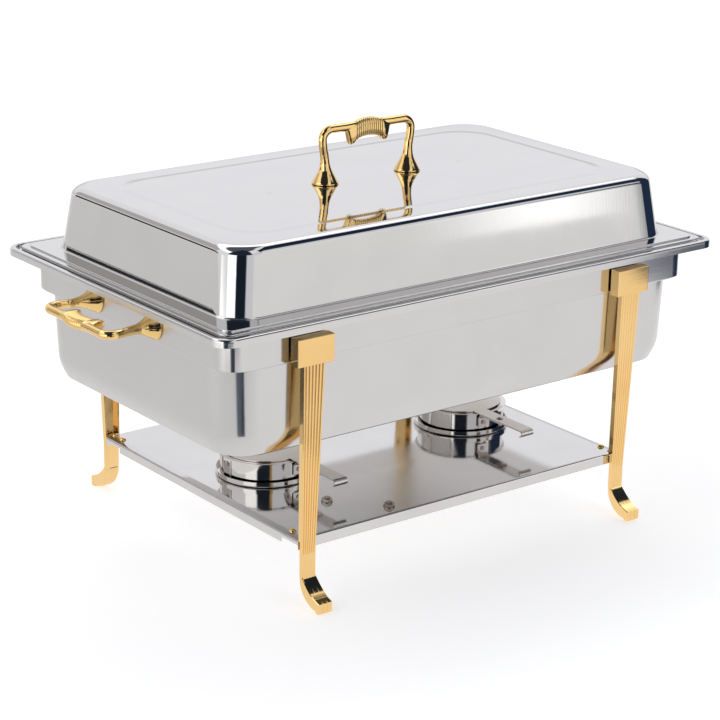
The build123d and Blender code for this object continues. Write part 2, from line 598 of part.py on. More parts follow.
def holder_parts(end, x_side):
    """Write the pieces of one fuel holder; its strap stands nearer the middle of the dish."""
    cup_x = x_side * HOLDER_X
    strap_x = cup_x - x_side * STRAP_OFFSET
    cup_front = HOLDER_Y - CUP_RADIUS

    # Base tray with a turned-up edge standing clear of the wall.
    with BuildPart() as base:
        rod(cup_x, HOLDER_Y, SHELF_TOP + GAP, SHELF_TOP + GAP + TRAY_HEIGHT, TRAY_RADIUS)
        fillet(base.faces().sort_by(Axis.Z)[0].edges(), 1.6)
        rod(cup_x, HOLDER_Y, BASE_TOP, BASE_TOP + TRAY_HEIGHT, TRAY_RADIUS - SHEET, mode=Mode.SUBTRACT)

    # Wall rolled from strip; its ends overlap on the outer side and are riveted.
    with BuildPart() as wall:
        rod(cup_x, HOLDER_Y, BASE_TOP, RING_BOTTOM, CUP_RADIUS)
        with BuildSketch(Plane.XY.offset(BASE_TOP + 2.2)):
            with Locations((cup_x + x_side * (CUP_RADIUS - 0.4), HOLDER_Y)):
                RectangleRounded(2.2, 11.0, 0.6)
        extrude(amount=RING_BOTTOM - BASE_TOP - 2.2)
        rod(cup_x, HOLDER_Y, BASE_TOP - 1, RING_BOTTOM + 1, CUP_RADIUS - SHEET, mode=Mode.SUBTRACT)
        with BuildSketch(Plane.YZ.offset(cup_x + x_side * (CUP_RADIUS - 2.5))):
            with Locations((HOLDER_Y, SEAM_RIVET_LEVEL)):
                Circle(1.4)
        extrude(amount=x_side * 5.0, mode=Mode.SUBTRACT)
        with BuildSketch(Plane.XZ.offset(-cup_front - 2.5)):
            with Locations((strap_x, RING_BOTTOM - 8.0)):
                Circle(1.4)
        extrude(amount=5.0, mode=Mode.SUBTRACT)

    # Flat ring that closes the top of the wall down to the fuel can's mouth.
    with BuildPart() as ring:
        rod(cup_x, HOLDER_Y, RING_BOTTOM, CUP_TOP, FLANGE_RADIUS)
        fillet(ring.faces().sort_by(Axis.Z)[-1].edges(), 0.4)
        rod(cup_x, HOLDER_Y, RING_BOTTOM - 1, CUP_TOP + 1, RING_INNER, mode=Mode.SUBTRACT)

    # Bracket on the front of the wall: a riveted tab, and an ear that carries the pin.
    tab_front = HOLDER_Y - FLANGE_RADIUS - 0.4
    with BuildPart() as bracket:
        with BuildSketch(Plane.YZ.offset(strap_x - 6.0)):
            with BuildLine():
                Polyline(
                    (cup_front + 0.1, RING_BOTTOM - 12.5),
                    (cup_front - 1.1, RING_BOTTOM - 12.5),
                    (cup_front - 1.1, RING_BOTTOM - 3.5),
                    (tab_front - 1.2, RING_BOTTOM - 1.0),
                    (tab_front - 1.2, CUP_TOP - 1.3),
                    (PIN_Y - 6.5, CUP_TOP - 1.3),
                    (PIN_Y - 6.5, CUP_TOP - 0.1),
                    (tab_front, CUP_TOP - 0.1),
                    (tab_front, RING_BOTTOM - 0.6),
                    (cup_front + 0.1, RING_BOTTOM - 3.0),
                    close=True,
                )
            make_face()
        extrude(amount=12.0)
        rod(strap_x, PIN_Y, CUP_TOP - 3, CUP_TOP + 1, PIN_RADIUS + 0.02, mode=Mode.SUBTRACT)
        rod(cup_x, HOLDER_Y, RING_BOTTOM - 20, RING_BOTTOM + 20, CUP_RADIUS + 0.02, mode=Mode.SUBTRACT)
        with BuildSketch(Plane.XZ.offset(-cup_front - 2.5)):
            with Locations((strap_x, RING_BOTTOM - 8.0)):
                Circle(1.4)
        extrude(amount=5.0, mode=Mode.SUBTRACT)

    # Rivets of the seam and of the bracket.
    with BuildPart() as rivets:
        with BuildSketch(Plane.YZ.offset(cup_x + x_side * (CUP_RADIUS - 1.4))):
            with Locations((HOLDER_Y, SEAM_RIVET_LEVEL)):
                Circle(1.35)
        extrude(amount=x_side * 2.4)
        with BuildSketch(Plane.YZ.offset(cup_x + x_side * (CUP_RADIUS + 0.75))):
            with Locations((HOLDER_Y, SEAM_RIVET_LEVEL)):
                Circle(2.3)
        extrude(amount=x_side * 0.8)
        with BuildSketch(Plane.XZ.offset(-cup_front - 1.4)):
            with Locations((strap_x, RING_BOTTOM - 8.0)):
                Circle(1.35)
        extrude(amount=3.0)
        with BuildSketch(Plane.XZ.offset(-cup_front + 1.12)):
            with Locations((strap_x, RING_BOTTOM - 8.0)):
                Circle(2.2)
        extrude(amount=0.8)

    # Pin with a head above the strap and a turned-over end below the ear.
    with BuildPart() as pin:
        rod(strap_x, PIN_Y, CUP_TOP - 2.3, DAMPER_BOTTOM + STRAP_SHEET + 0.4, PIN_RADIUS)
        rod(strap_x, PIN_Y, CUP_TOP - 2.3, CUP_TOP - 1.35, 3.2)
        dome(strap_x, PIN_Y, DAMPER_BOTTOM + STRAP_SHEET + 0.1, 3.6, 1.4)

    # Damper: a disc over the mouth and a strap with a curled end, in one piece.
    with BuildPart() as damper:
        with BuildSketch(Plane.XY.offset(DAMPER_BOTTOM)):
            with Locations((cup_x, HOLDER_Y)):
                Circle(DAMPER_RADIUS)
            with Locations((strap_x, (HOLDER_Y - 28 + STRAP_END) / 2)):
                Rectangle(STRAP_WIDTH, HOLDER_Y - 28 - STRAP_END)
        extrude(amount=STRAP_SHEET)
        with BuildSketch(Plane.YZ.offset(strap_x - STRAP_WIDTH / 2)):
            with BuildLine():
                top = DAMPER_BOTTOM + STRAP_SHEET
                outer = CURL_RADIUS
                inner = outer - STRAP_SHEET
                CenterArc((STRAP_END, top - outer), outer, 90, 180)
                Line((STRAP_END, top - 2 * outer), (STRAP_END, top - 2 * outer + STRAP_SHEET))
                CenterArc((STRAP_END, top - outer), inner, 270, -180)
                Line((STRAP_END, top - STRAP_SHEET), (STRAP_END, top))
            make_face()
        extrude(amount=STRAP_WIDTH)
        rod(strap_x, PIN_Y, DAMPER_BOTTOM - 1, DAMPER_BOTTOM + 3, PIN_RADIUS + 0.05, mode=Mode.SUBTRACT)

    pieces = {
        "fuel_base": base,
        "fuel_wall": wall,
        "fuel_ring": ring,
        "damper_bracket": bracket,
        "fuel_rivets": rivets,
        "damper_pin": pin,
        "damper": damper,
    }
    for name, piece in pieces.items():
        piece.part.label = f"{name}_{end}"
        export_step(piece.part, f"parts/{name}_{end}.step")


holder_parts("left", -1)
holder_parts("right", 1)
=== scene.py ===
import math

import bmesh
import bpy
from mathutils import Matrix, Vector


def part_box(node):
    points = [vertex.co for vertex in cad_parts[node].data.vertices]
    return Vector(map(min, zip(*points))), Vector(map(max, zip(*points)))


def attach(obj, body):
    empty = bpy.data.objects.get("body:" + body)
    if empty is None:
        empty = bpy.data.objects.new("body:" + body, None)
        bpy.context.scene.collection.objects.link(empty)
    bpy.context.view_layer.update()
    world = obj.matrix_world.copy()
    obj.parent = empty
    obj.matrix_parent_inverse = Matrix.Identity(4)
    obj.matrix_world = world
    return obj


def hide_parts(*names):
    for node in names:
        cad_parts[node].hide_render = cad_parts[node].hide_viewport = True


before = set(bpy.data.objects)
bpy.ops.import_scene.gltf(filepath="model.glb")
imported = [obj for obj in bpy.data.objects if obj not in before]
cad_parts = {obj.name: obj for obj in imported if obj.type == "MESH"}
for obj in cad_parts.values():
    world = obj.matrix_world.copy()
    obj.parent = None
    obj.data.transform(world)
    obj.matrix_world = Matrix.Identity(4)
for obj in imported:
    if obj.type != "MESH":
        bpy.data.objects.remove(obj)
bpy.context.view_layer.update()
MM = 0.001


# ------------------------------------------------------------------ helpers
def corners(*nodes):
    """Lowest and highest corner of one or more CAD nodes, in millimetres."""
    lows, highs = zip(*(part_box(node) for node in nodes))
    low = Vector([min(low[i] for low in lows) for i in range(3)]) / MM
    high = Vector([max(high[i] for high in highs) for i in range(3)]) / MM
    return low, high


def build(name, points, faces, material, body, nodes, sharp=35.0):
    """Make a piece from points in millimetres; it stands for its CAD nodes and rides on its body."""
    mesh = bpy.data.meshes.new(name)
    mesh.from_pydata([tuple(c * MM for c in p) for p in points], [], faces)
    mesh.validate()
    work = bmesh.new()
    work.from_mesh(mesh)
    bmesh.ops.remove_doubles(work, verts=work.verts, dist=1e-7)
    bmesh.ops.recalc_face_normals(work, faces=work.faces)
    work.to_mesh(mesh)
    work.free()
    mesh.shade_smooth()
    piece = bpy.data.objects.new(name, mesh)
    bpy.context.scene.collection.objects.link(piece)
    finish_piece(piece, material, body, nodes, sharp)


def finish_piece(piece, material, body, nodes, sharp=0.0):
    """Shading, material and body of a piece; with sharp, edges above that angle stay crisp."""
    if sharp:
        piece.data.set_sharp_from_angle(angle=math.radians(sharp))
        normals = piece.modifiers.new("normals", "WEIGHTED_NORMAL")
        normals.keep_sharp = True
        normals.weight = 80
    piece.data.materials.clear()
    piece.data.materials.append(material)
    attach(piece, body)
    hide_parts(*nodes)


def rounded(path, steps=6):
    """Round the corners of a path; a row is two plane coordinates, anything carried along, a radius."""
    result = []
    for i, row in enumerate(path):
        here, radius = row[:-1], row[-1]
        if not radius or i in (0, len(path) - 1):
            result.append(tuple(here))
            continue
        before, after = path[i - 1][:-1], path[i + 1][:-1]
        a = Vector((before[0] - here[0], before[1] - here[1]))
        b = Vector((after[0] - here[0], after[1] - here[1]))
        turn = math.pi - a.angle(b)
        reach = min(radius * math.tan(turn / 2), 0.499 * a.length, 0.499 * b.length)
        share_a, share_b = reach / a.length, reach / b.length
        start = [h + (p - h) * share_a for h, p in zip(here, before)]
        end = [h + (p - h) * share_b for h, p in zip(here, after)]
        radius = reach / math.tan(turn / 2)
        centre = Vector(here[:2]) + (a.normalized() + b.normalized()).normalized() * (
            radius / math.cos(turn / 2)
        )
        one, two = Vector(start[:2]) - centre, Vector(end[:2]) - centre
        sweep = one.angle_signed(two)
        for step in range(steps + 1):
            t = step / steps
            arm = one.copy()
            arm.rotate(Matrix.Rotation(-sweep * t, 2))
            rest = [s + (e - s) * t for s, e in zip(start[2:], end[2:])]
            result.append((centre.x + arm.x, centre.y + arm.y, *rest))
    return result


def outline(half_x, half_y, corner, z, steps, cuts=(1, 1)):
    """A rounded rectangle as a ring of points; cuts are the parts of each long and short side."""
    ring = []
    for sx, sy, first in ((1, 1, 0), (-1, 1, 90), (-1, -1, 180), (1, -1, 270)):
        for step in range(steps + 1):
            angle = math.radians(first + 90 * step / steps)
            ring.append((
                sx * (half_x - corner) + corner * math.cos(angle),
                sy * (half_y - corner) + corner * math.sin(angle),
                z,
            ))
        along = cuts[0] if sx == sy else cuts[1]
        reach = 2 * ((half_x if sx == sy else half_y) - corner)
        x, y, _ = ring[-1]
        for cut in range(1, along):
            step = reach * cut / along
            if sx == sy:
                ring.append((x - sx * step, y, z))
            else:
                ring.append((x, y + sx * step, z))
    return ring


def loft(rings, closed=False):
    """Faces between rings of equal length, with an end face at each end of an open loft."""
    count = len(rings[0])
    points = [p for ring in rings for p in ring]
    faces = []
    pairs = len(rings) if closed else len(rings) - 1
    for r in range(pairs):
        a, b = r * count, ((r + 1) % len(rings)) * count
        for i in range(count):
            j = (i + 1) % count
            faces.append((a + i, a + j, b + j, b + i))
    if not closed:
        faces.append(tuple(range(count - 1, -1, -1)))
        faces.append(tuple(range(len(points) - count, len(points))))
    return points, faces


# ------------------------------------------------------------------ camera
CAMERA_PLACE = Vector((-1.2385, -1.5957, 0.8098))
YAW, PITCH, ROLL = (math.radians(a) for a in (-37.65, -18.29, 0.92))
forward = Vector((-math.sin(YAW) * math.cos(PITCH), math.cos(YAW) * math.cos(PITCH), math.sin(PITCH)))
right = Vector((math.cos(YAW), math.sin(YAW), 0))
up = right.cross(forward)
rolled_right = right * math.cos(ROLL) + up * math.sin(ROLL)
rolled_up = up * math.cos(ROLL) - right * math.sin(ROLL)
camera = bpy.data.objects.new("camera", bpy.data.cameras.new("camera"))
camera.matrix_world = Matrix.Translation(CAMERA_PLACE) @ Matrix(
    (rolled_right, rolled_up, -forward)
).transposed().to_4x4()
camera.data.sensor_width = 36
camera.data.lens = 113.6
camera.data.shift_x = 0.004
camera.data.clip_end = 60
bpy.context.scene.collection.objects.link(camera)
bpy.context.scene.camera = camera
bpy.context.scene.view_settings.view_transform = "Standard"


# ------------------------------------------------------------------ materials
def node_material(name):
    material = bpy.data.materials.new(name)
    material.use_nodes = True
    return material, material.node_tree.nodes, material.node_tree.links


def metal(name, light, dark, rough, scratch=(1, 1, 60), scratch_strength=0.02, wave=0.0, hollow_shade_amount=0.5,
          satin=False):
    """A polished metal: cloudy colour and roughness, painted shade in its hollows, fine polishing lines, a
    slow waviness of the sheet.

    With satin, the faces that look along X and downwards are left duller than the rest.
    """
    material, nodes, links = node_material(name)
    shader = nodes["Principled BSDF"]
    shader.inputs["Metallic"].default_value = 1.0
    place = nodes.new("ShaderNodeTexCoord")

    cloud = nodes.new("ShaderNodeTexNoise")
    cloud.inputs["Scale"].default_value = 22
    cloud.inputs["Detail"].default_value = 6
    links.new(place.outputs["Object"], cloud.inputs["Vector"])
    tone = nodes.new("ShaderNodeValToRGB")
    tone.color_ramp.elements[0].position = 0.3
    tone.color_ramp.elements[0].color = (*dark, 1)
    tone.color_ramp.elements[1].position = 0.7
    tone.color_ramp.elements[1].color = (*light, 1)
    links.new(cloud.outputs["Fac"], tone.inputs["Fac"])

    # Painted shade: through pointiness the colour is made darker in hollows and creases, standing in for the
    # shade that falls there; flat faces are darkened a little less and convex faces not at all.
    edges = nodes.new("ShaderNodeNewGeometry")
    painted_hollow_shade = nodes.new("ShaderNodeMapRange")
    painted_hollow_shade.inputs["From Min"].default_value = 0.46
    painted_hollow_shade.inputs["From Max"].default_value = 0.54
    painted_hollow_shade.inputs["To Min"].default_value = 1 - 0.12 * hollow_shade_amount
    painted_hollow_shade.inputs["To Max"].default_value = 1.0
    links.new(edges.outputs["Pointiness"], painted_hollow_shade.inputs["Value"])
    shade = nodes.new("ShaderNodeMix")
    shade.data_type = "RGBA"
    shade.blend_type = "MULTIPLY"
    shade.inputs["Factor"].default_value = 1.0
    links.new(tone.outputs["Color"], shade.inputs["A"])
    links.new(painted_hollow_shade.outputs["Result"], shade.inputs["B"])
    links.new(shade.outputs["Result"], shader.inputs["Base Color"])

    stretch = nodes.new("ShaderNodeMapping")
    stretch.inputs["Scale"].default_value = scratch
    links.new(place.outputs["Object"], stretch.inputs["Vector"])
    lines = nodes.new("ShaderNodeTexNoise")
    lines.inputs["Scale"].default_value = 18
    lines.inputs["Detail"].default_value = 8
    lines.inputs["Roughness"].default_value = 0.65
    links.new(stretch.outputs["Vector"], lines.inputs["Vector"])

    gloss = nodes.new("ShaderNodeMapRange")
    gloss.inputs["From Min"].default_value = 0.35
    gloss.inputs["From Max"].default_value = 0.65
    gloss.inputs["To Min"].default_value = rough[0]
    gloss.inputs["To Max"].default_value = rough[1]
    both = nodes.new("ShaderNodeMath")
    both.operation = "MULTIPLY_ADD"
    both.inputs[1].default_value = 0.5
    links.new(lines.outputs["Fac"], both.inputs[0])
    half = nodes.new("ShaderNodeMath")
    half.operation = "MULTIPLY"
    half.inputs[1].default_value = 0.5
    links.new(cloud.outputs["Fac"], half.inputs[0])
    links.new(half.outputs["Value"], both.inputs[2])
    links.new(both.outputs["Value"], gloss.inputs["Value"])
    if satin:
        facing = nodes.new("ShaderNodeSeparateXYZ")
        links.new(place.outputs["Normal"], facing.inputs["Vector"])
        result = gloss.outputs["Result"]
        for axis, start, end in (("X", 0.8, 0.99), ("X", -0.8, -0.99), ("Z", -0.8, -0.99)):
            dull = nodes.new("ShaderNodeMapRange")
            dull.inputs["From Min"].default_value = start
            dull.inputs["From Max"].default_value = end
            dull.inputs["To Min"].default_value = 0.0
            dull.inputs["To Max"].default_value = 0.2
            links.new(facing.outputs[axis], dull.inputs["Value"])
            total = nodes.new("ShaderNodeMath")
            total.operation = "ADD"
            links.new(result, total.inputs[0])
            links.new(dull.outputs["Result"], total.inputs[1])
            result = total.outputs["Value"]
        links.new(result, shader.inputs["Roughness"])
    else:
        links.new(gloss.outputs["Result"], shader.inputs["Roughness"])

    fine = nodes.new("ShaderNodeBump")
    fine.inputs["Strength"].default_value = scratch_strength
    fine.inputs["Distance"].default_value = 0.0004
    links.new(lines.outputs["Fac"], fine.inputs["Height"])
    if wave:
        slow = nodes.new("ShaderNodeTexNoise")
        slow.inputs["Scale"].default_value = 7
        slow.inputs["Detail"].default_value = 1
        links.new(place.outputs["Object"], slow.inputs["Vector"])
        sheet = nodes.new("ShaderNodeBump")
        sheet.inputs["Strength"].default_value = wave
        sheet.inputs["Distance"].default_value = 0.002
        links.new(slow.outputs["Fac"], sheet.inputs["Height"])
        links.new(sheet.outputs["Normal"], fine.inputs["Normal"])
    links.new(fine.outputs["Normal"], shader.inputs["Normal"])
    return material


STEEL = (0.68, 0.675, 0.67)
STEEL_DARK = (0.655, 0.65, 0.648)
cover_steel = metal("cover_steel", STEEL, STEEL_DARK, (0.03, 0.06), (60, 1, 1), 0.02, 0.02)
pan_steel = metal("pan_steel", STEEL, STEEL_DARK, (0.11, 0.16), (1, 1, 60), 0.04, 0.05, satin=True)
SHELF_LIGHT = (0.70, 0.69, 0.685)
SHELF_DARK = (0.66, 0.65, 0.645)
shelf_steel = metal("shelf_steel", SHELF_LIGHT, SHELF_DARK, (0.05, 0.09), (60, 1, 1), 0.03, 0.05)
satin_steel = metal("satin_steel", (0.72, 0.71, 0.70), (0.64, 0.63, 0.62), (0.18, 0.3), (1, 40, 1), 0.15)
cup_steel = metal("cup_steel", (0.72, 0.70, 0.68), (0.66, 0.64, 0.62), (0.05, 0.11), (1, 1, 50), 0.05)
strap_steel = metal("strap_steel", (0.74, 0.70, 0.66), (0.64, 0.60, 0.56), (0.16, 0.26), (1, 30, 1), 0.2)
bright_steel = metal("bright_steel", (0.62, 0.60, 0.58), (0.45, 0.43, 0.42), (0.15, 0.3), (20, 20, 20), 0.2)
nut_steel = metal("nut_steel", (0.42, 0.37, 0.33), (0.28, 0.24, 0.21), (0.2, 0.34), (20, 20, 20), 0.25)
gold = metal("gold", (0.95, 0.66, 0.30), (0.91, 0.60, 0.25), (0.06, 0.12), (1, 1, 30), 0.05)
gold_cast = metal("gold_cast", (0.97, 0.68, 0.29), (0.92, 0.62, 0.24), (0.05, 0.10), (12, 12, 12), 0.10)


# ------------------------------------------------------------------ water pan
water_low, water_high = corners("water_pan")
RIM_MARGIN = 14.0
PAN_X = water_high.x - RIM_MARGIN
PAN_Y = water_high.y - RIM_MARGIN
SHEET = 0.8
PAN_BOTTOM = water_low.z
PAN_EDGE_LEVEL = PAN_BOTTOM + 2.0
RIM_TOP = water_high.z
STEP_LEVEL = PAN_BOTTOM + 82
LEDGE = RIM_TOP - 2.4
CORNER_STEPS = 20


def pressed(name, rows, material, body, nodes, cuts=(1, 1), relief=None):
    """A pressed sheet: rows of (margin, z, corner radius, profile radius) around the pan's outline."""
    rings = []
    for margin, z, corner in rounded(rows):
        rings.append(outline(PAN_X + margin, PAN_Y + margin, max(corner, 0.3), z, CORNER_STEPS, cuts))
    points, faces = loft(rings)
    if relief:
        points = [relief(*point) for point in points]
    build(name, points, faces, material, body, nodes, sharp=50)


pressed(
    "water_pan_sheet",
    [
        (-90, PAN_BOTTOM, 12, 0),
        (-74, PAN_BOTTOM, 12, 4),
        (-60, PAN_EDGE_LEVEL, 12, 4),
        (-17, PAN_EDGE_LEVEL, 33, 2.6),
        (-11.0, PAN_BOTTOM + 16.5, 37, 45),
        (-8, STEP_LEVEL, 40, 1.0),
        (-5.4, STEP_LEVEL + 0.2, 18, 1.2),
        (-5.4, LEDGE - SHEET, 18, 1.5),
        (13.2, LEDGE - SHEET, 16.2, 1.6),
        (13.2, RIM_TOP - 7, 16.2, 0),
        (14.0, RIM_TOP - 7, 17, 0),
        (14.0, RIM_TOP, 17, 3.2),
        (9.0, RIM_TOP, 13, 0.7),
        (9.0, LEDGE, 13, 0.5),
        (-6.2, LEDGE, 17.2, 1.5),
        (-6.2, STEP_LEVEL + SHEET, 17.2, 1.2),
        (-8.8, STEP_LEVEL + SHEET, 39.2, 1.0),
        (-11.85, PAN_BOTTOM + 16.8, 36.2, 44),
        (-17.6, PAN_EDGE_LEVEL + SHEET, 32.4, 2.0),
        (-60.2, PAN_EDGE_LEVEL + SHEET, 12, 4),
        (-74.2, PAN_BOTTOM + SHEET, 12, 4),
        (-90, PAN_BOTTOM + SHEET, 12, 0),
    ],
    pan_steel, "water_pan", ["water_pan"],
)

# ------------------------------------------------------------------ cover
cover_low, cover_high = corners("lid_cover")
SEAT = cover_low.z + 1.8
FLANGE = SEAT + 2.2
PANEL = cover_high.z
SHOULDER = PANEL - 1.0


def crown(x, y, z):
    """The middle of the cover stands a little higher than the rest of its top."""
    share = (x / 200) ** 2 + (y / 100) ** 2
    if z < SHOULDER - 2 or share > 1:
        return x, y, z
    return x, y, z + 0.6 * (1 - share) ** 2


MIDDLE_MARGINS = (-158, -150, -140, -130, -120, -110, -100, -90, -80, -70)
PANEL_EDGE = PANEL - 0.6
pressed(
    "cover_sheet",
    [(margin, PANEL_EDGE, max(5, 36 + margin / 5), 0) for margin in MIDDLE_MARGINS] + [
        (-59, PANEL_EDGE, 36, 9),
        (-53, SHOULDER, 36, 9),
        (-25, SHOULDER, 28, 9),
        (-17.5, FLANGE, 28, 1.6),
        (-1.5, FLANGE, 8, 0.8),
        (-1.5, SEAT + SHEET, 8, 0.6),
        (4.5, SEAT + SHEET, 10, 0.8),
        (4.5, cover_low.z, 10, 0),
        (3.7, cover_low.z, 9.2, 0),
        (3.7, SEAT, 9.2, 0.4),
        (-2.3, SEAT, 7.2, 0.4),
        (-2.3, FLANGE - SHEET, 7.2, 0.4),
        (-18.3, FLANGE - SHEET, 27.2, 1.6),
        (-25.8, SHOULDER - SHEET, 27.2, 8.2),
        (-53, SHOULDER - SHEET, 35, 9),
        (-59, PANEL_EDGE - SHEET, 35, 9),
    ] + [(margin, PANEL_EDGE - SHEET, max(5, 36 + margin / 5), 0) for margin in MIDDLE_MARGINS[::-1]],
    cover_steel, "lid", ["lid_cover"], (40, 16), crown,
)

# ------------------------------------------------------------------ food pan
food_low, food_high = corners("food_pan")
FOOD_TOP = food_high.z
NECK = FOOD_TOP - 16
pressed(
    "food_pan_sheet",
    [
        (-80, food_low.z, 12, 0),
        (-20.5, food_low.z, 42, 17.8),
        (-18.5, NECK, 44, 2),
        (-12, NECK + 0.5, 48, 2),
        (-12, FOOD_TOP - SHEET, 48, 1.2),
        (-SHEET, FOOD_TOP - SHEET, 11.2, 0.4),
        (-SHEET, FOOD_TOP - 1.8, 11.2, 0),
        (0, FOOD_TOP - 1.8, 12, 0),
        (0, FOOD_TOP, 12, 0.8),
        (-12.8, FOOD_TOP, 47.2, 2),
        (-12.8, NECK + 1.2, 47.2, 1.2),
        (-19.3, NECK + 0.6, 43.2, 1.2),
        (-21.3, food_low.z + SHEET, 41.2, 17),
        (-80, food_low.z + SHEET, 12, 0),
    ],
    satin_steel, "food_pan", ["food_pan"],
)


# ------------------------------------------------------------------ legs
REEDS = 6
REED_DEPTH = 1.1
REED_SHAPE = (
    (-0.97, 0), (-0.65, 0.12), (-0.35, 0.4), (-0.12, 0.8), (0, 1),
    (0.12, 0.8), (0.35, 0.4), (0.65, 0.12), (0.97, 0),
)
EDGE_LAND = 1.6
LEG_WALL = 1.6
CHANNEL_END = 57.5
INSTEP_RADIUS = 25.8
INSTEP_TURN = 84
TOE_GROOVE = 0.55
TOE_GROOVE_X = {1: -2.4, 4: 2.4}


def leg_section(front, rear, half, hollow, grooves):
    """One section of a leg: across X, from the front point to the rear point, both as (y, z)."""
    depth = Vector((rear[0] - front[0], rear[1] - front[1]))
    length = depth.length
    chamfer = min(0.5, half * 0.1)
    row = [(-half, chamfer), (-half + chamfer, 0)]
    for centre, width, deep in grooves:
        for share, sink in REED_SHAPE:
            row.append((centre + share * width, sink * deep))
    row += [(half - chamfer, 0), (half, chamfer)]
    round_rear = 0.05 if hollow else min(half * 0.45, length * 0.45)
    for angle in (0, 30, 60, 90):
        turn = math.radians(angle)
        row.append((half - round_rear * (1 - math.cos(turn)), length - round_rear * (1 - math.sin(turn))))
    inner = length - hollow * (length - LEG_WALL)
    inside = (half - LEG_WALL) * (1 if hollow else 0.5)
    row += [(inside, length), (inside, inner), (-inside, inner), (-inside, length)]
    for angle in (90, 60, 30, 0):
        turn = math.radians(angle)
        row.append((-half + round_rear * (1 - math.cos(turn)), length - round_rear * (1 - math.sin(turn))))
    return [
        (u, front[0] + depth.x * v / length, front[1] + depth.y * v / length)
        for u, v in row
    ]


def leg_rings(top, waist, face_top, face_bottom, back_top, back, reach, width_top, width_waist):
    """Sections of a front leg centred on X = 0, from its head down to its toe; Y is negative."""
    rings = []

    def rear_at(z):
        return back + (back_top - back) * max(0, z - waist) / (top - waist)

    def station(front, rear, half, hollow, deep, toe=0.0):
        """Add a section with reeds of that depth, or with only the two grooves of the toe."""
        grooves = []
        for k in range(REEDS):
            share = (k - (REEDS - 1) / 2) / REEDS
            if toe:
                grooves.append((TOE_GROOVE_X.get(k, share * 11), 0.5, toe if k in TOE_GROOVE_X else 0.0))
            else:
                grooves.append((share * (2 * half - EDGE_LAND), (2 * half - EDGE_LAND) / (2 * REEDS), deep))
        rings.append(leg_section(front, rear, half, hollow, grooves))

    def face(z):
        return face_bottom + (face_top - face_bottom) * (z - waist) / (top - waist)

    def half_at(z):
        return (width_waist + (width_top - width_waist) * (z - waist) / (top - waist)) / 2

    for z in (top, top - 20, top - 60, top - 100, top - 140, waist + 14):
        station((-face(z), z), (-rear_at(z), z), half_at(z), 1, REED_DEPTH)
    for z, hollow, deep in (
        (CHANNEL_END + 0.2, 1, REED_DEPTH), (CHANNEL_END, 0, REED_DEPTH), (waist + 2, 0, 1.0),
        (waist, 0, 0.7), (waist - 1.2, 0, 0.25), (waist - 2, 0, 0.0),
    ):
        station((-face(max(z, waist)), z), (-rear_at(z), z), half_at(max(z, waist)), hollow, deep)
    for z in (34, 30, 27, 25.2):
        station((-face_bottom - (0.5 if z < 26 else 0), z), (-back, z), width_waist / 2, 0, 0)
    # The foot: its back is a hollow quarter round, kept just inside the CAD's box.
    count = 12
    for step in range(count + 1):
        t = step / count
        y = face_bottom + 0.9 + (reach - face_bottom - 0.9) * t
        z = 24.4 + (9.5 - 24.4) * t - 2.6 * math.sin(math.pi * t)
        angle = math.radians(INSTEP_TURN * t)
        rear_y = back + INSTEP_RADIUS * (1 - math.cos(angle)) * 0.995
        rear_z = INSTEP_RADIUS - INSTEP_RADIUS * math.sin(angle) * 1.0005
        half = width_waist / 2 + 0.35 * math.sin(math.pi * min(1, t * 1.5))
        toe = TOE_GROOVE if step == count else 0.02
        station((-y, z), (-rear_y, max(rear_z, 0.02)), half, 0, 0, toe)
    heel = (-back - 23.0, 0.1)
    for y, z in ((reach, 9.2), (reach, 6), (reach, 3), (reach, 0.5), (reach - 0.5, 0.0)):
        station((-y, z), heel, width_waist / 2, 0, 0, TOE_GROOVE)
    return rings


leg_low, leg_high = corners("leg_front_left")
front_leg = leg_rings(
    top=leg_high.z, waist=48.0, face_top=167.4, face_bottom=161.2, back_top=162.2, back=155.4,
    reach=-leg_low.y, width_top=23.2, width_waist=14.4,
)
for corner in ("front_left", "front_right", "back_left", "back_right"):
    low, high = corners(f"leg_{corner}")
    middle = (low.x + high.x) / 2
    side = -1 if corner.startswith("back") else 1
    points, faces = loft([[(x + middle, side * y, z) for x, y, z in ring] for ring in front_leg])
    build(f"leg_{corner}_casting", points, faces, gold, "frame", [f"leg_{corner}"])


# ------------------------------------------------------------------ handles
FEET = 47.0
ARM_RADIUS = 3.9
RIB_PITCH = 2.4
RIB_DEPTH = 0.42
RIBBED_HALF = 15.6
VOXEL = 0.45


